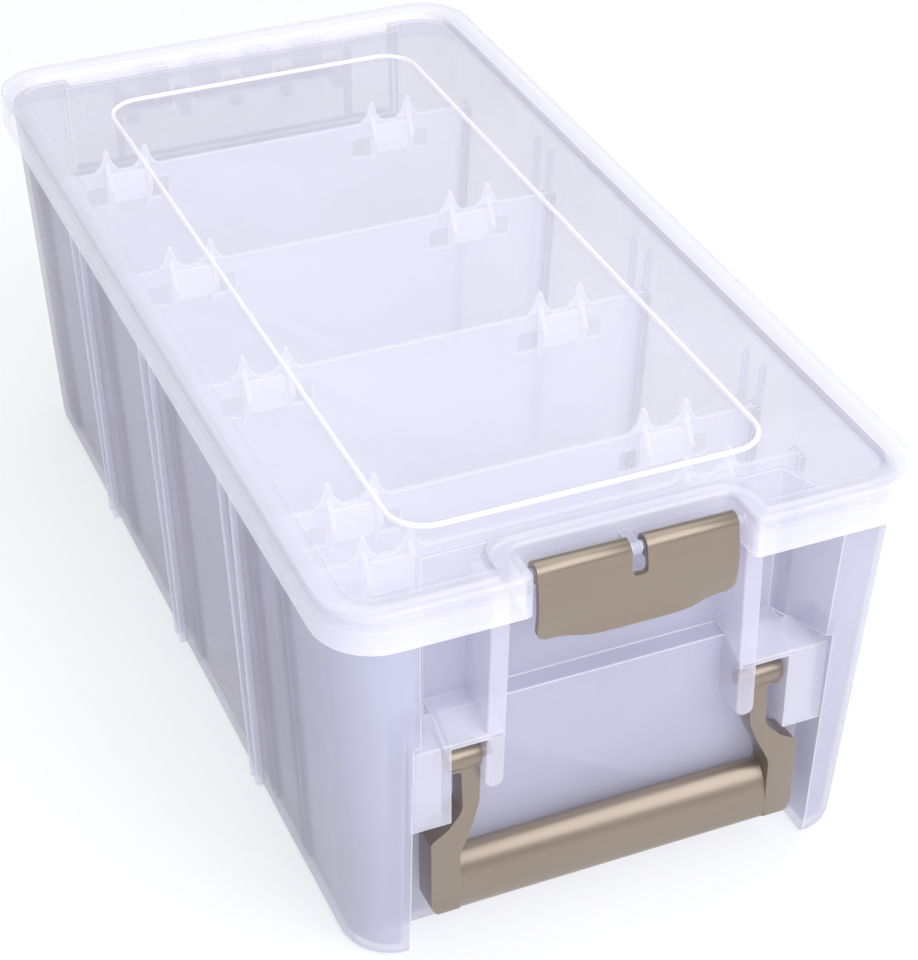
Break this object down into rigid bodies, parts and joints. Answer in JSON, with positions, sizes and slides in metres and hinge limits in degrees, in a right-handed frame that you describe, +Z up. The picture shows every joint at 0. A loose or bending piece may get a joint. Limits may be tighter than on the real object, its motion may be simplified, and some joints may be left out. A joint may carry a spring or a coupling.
{
  "type": "latching storage box",
  "caption": "Clear tapered storage box with a hinged latching lid, upright dividers and a fold-down bail handle at one end.",
  "frame": {"origin": "centre of the footprint, on the surface the box stands on", "axes": "+Y from the carrying end with the latch to the hinged end, +Z up, +X to the right seen from the hinged end turned round, so right when facing the latch from the front is +X"},
  "size_m": [0.2, 0.39, 0.151],
  "materials": {
    "frosted_plastic": "frosted translucent polypropylene, faintly lavender",
    "clear_lid_plastic": "clear polypropylene with a milky cast",
    "champagne_paint": "champagne metallic paint, satin",
    "divider_plastic": "frosted translucent polypropylene"
  },
  "bodies": {
    "tub": {"tub": "frosted_plastic", "divider_rear": "divider_plastic", "divider_second": "divider_plastic", "divider_middle": "divider_plastic", "divider_fourth": "divider_plastic", "divider_front": "divider_plastic"},
    "lid": {"lid": "clear_lid_plastic"},
    "latch": {"latch": "champagne_paint"},
    "handle": {"handle": "champagne_paint"}
  },
  "joints": [
    {"name": "lid_hinge", "type": "hinge", "parent": "tub", "child": "lid", "pos_m": [0, 0.189, 0.13], "axis": [-1, 0, 0], "range_deg": [0, 110]},
    {"name": "latch_pivot", "type": "hinge", "parent": "lid", "child": "latch", "pos_m": [0, -0.186, 0.1454], "axis": [-1, 0, 0], "range_deg": [0, 95]},
    {"name": "handle_pivot", "type": "hinge", "parent": "tub", "child": "handle", "pos_m": [0, -0.1783, 0.075], "axis": [-1, 0, 0], "range_deg": [0, 90]}
  ]
}
